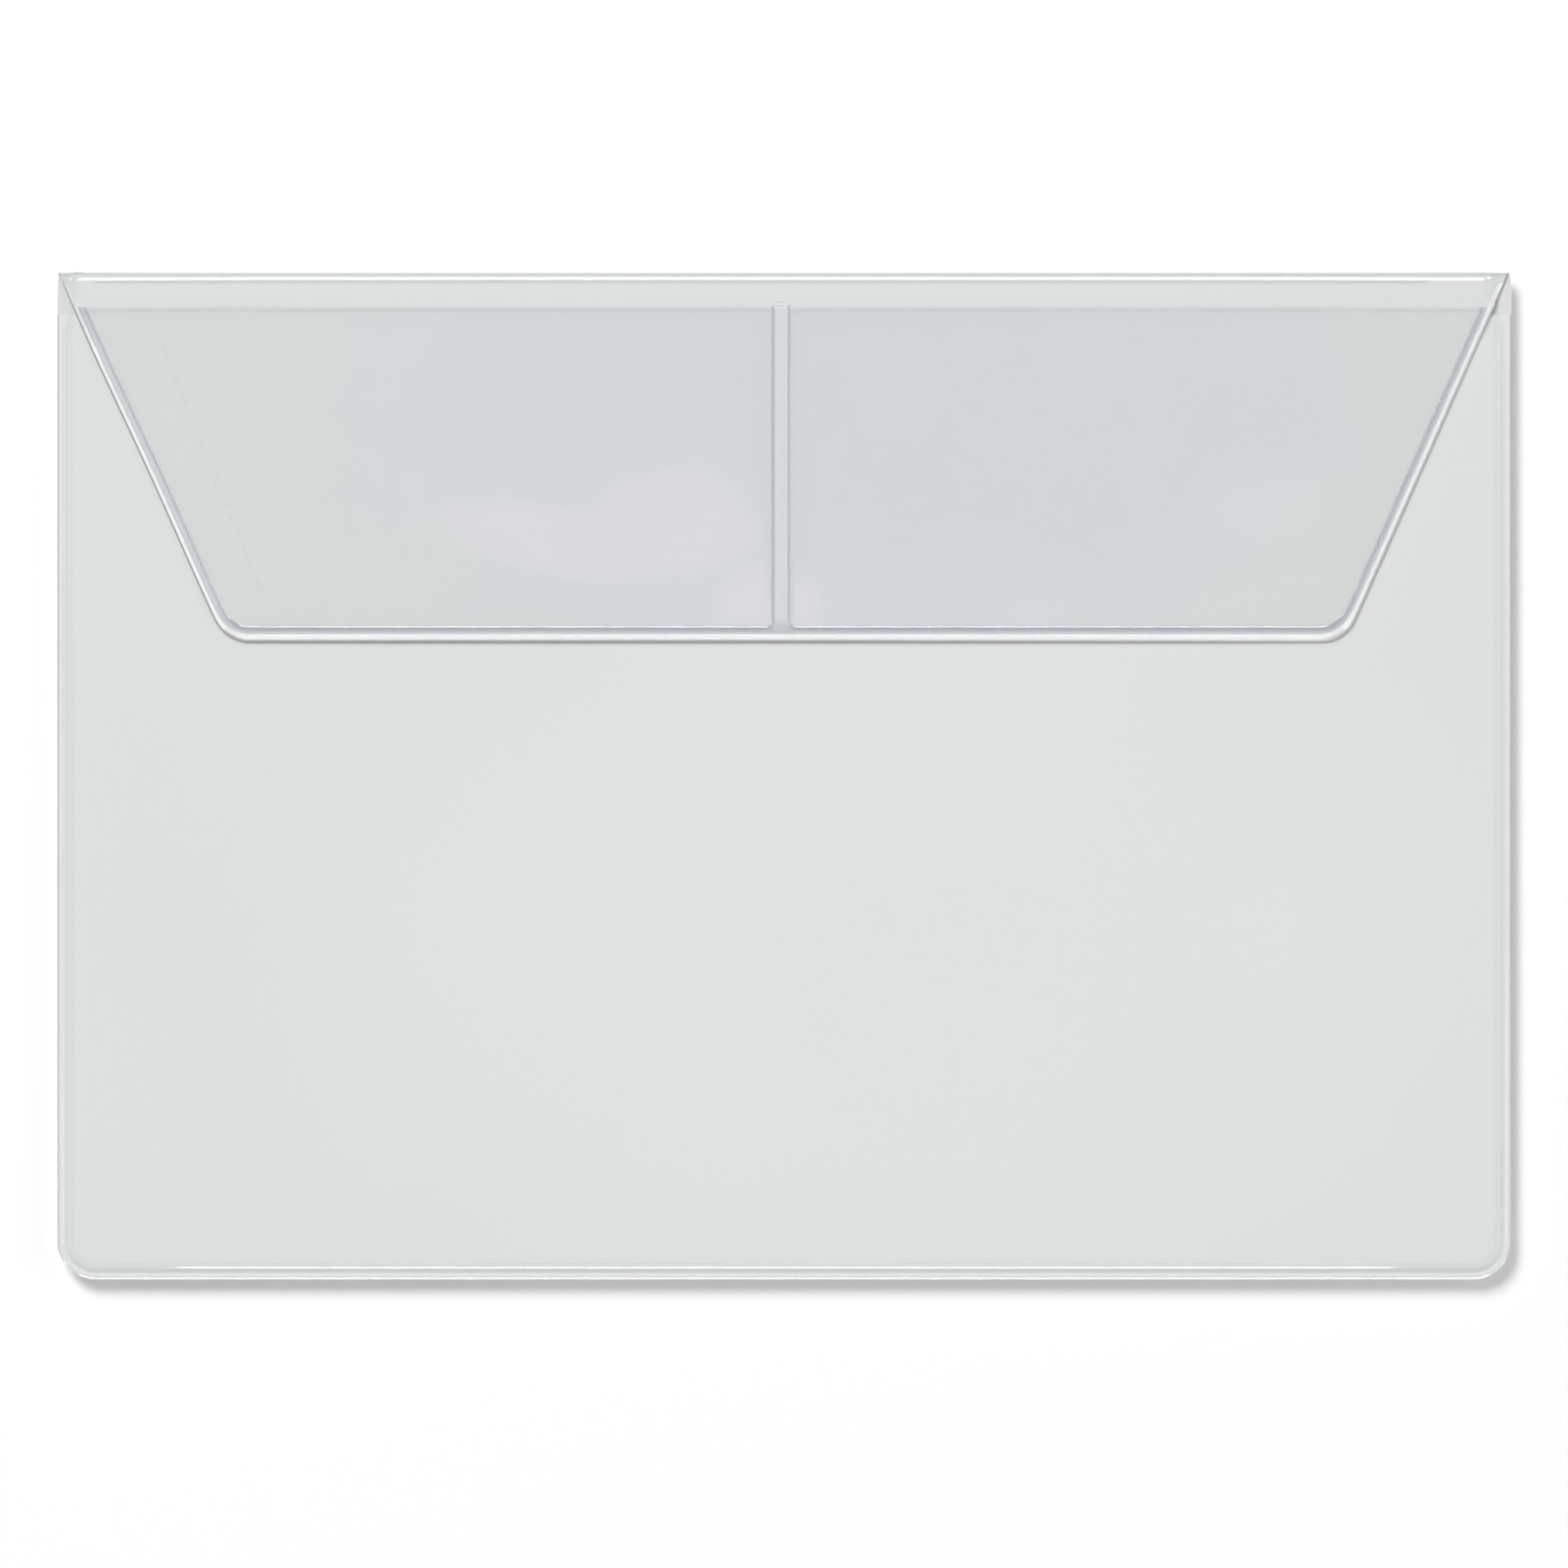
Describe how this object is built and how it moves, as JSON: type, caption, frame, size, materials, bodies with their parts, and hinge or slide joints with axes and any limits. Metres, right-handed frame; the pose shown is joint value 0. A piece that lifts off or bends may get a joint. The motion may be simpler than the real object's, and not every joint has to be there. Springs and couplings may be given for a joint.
{
  "type": "owner's manual holder",
  "caption": "Flat white vinyl pouch for an owner's manual, with welded edges, a fold-over flap with slanted sides, and clear card pockets on the flap.",
  "frame": {"origin": "middle of the footprint, on the plane that the flat of the back panel rests on", "axes": "+X to the right as seen from the front, +Y from the bottom edge towards the fold, +Z out of the front"},
  "size_m": [0.2412, 0.167, 0.0071],
  "materials": {
    "white_vinyl": "satin white vinyl sheet with a very fine grain",
    "pressed_vinyl": "white vinyl pressed smooth in a heat weld, with a glossy bead along its edge",
    "pressed_film": "clear film fused to white vinyl in a heat weld, glossy and faintly blue",
    "clear_film": "clear glossy vinyl film, faintly blue"
  },
  "bodies": {
    "pouch": {"back_panel": "white_vinyl", "front_panel": "white_vinyl", "left_weld": "pressed_vinyl", "bottom_weld": "pressed_vinyl", "right_weld": "pressed_vinyl", "fold_hinge": "white_vinyl"},
    "flap": {"flap_panel": "white_vinyl", "flap_left_weld": "pressed_film", "flap_bottom_weld": "pressed_film", "flap_right_weld": "pressed_film", "divider_weld": "pressed_film", "card_film": "clear_film"}
  },
  "joints": [
    {"name": "flap_hinge", "type": "hinge", "parent": "pouch", "child": "flap", "pos_m": [0, 0.0818, 0.00308], "axis": [-1, 0, 0], "range_deg": [0, 178], "deforming": ["fold_hinge"]}
  ]
}
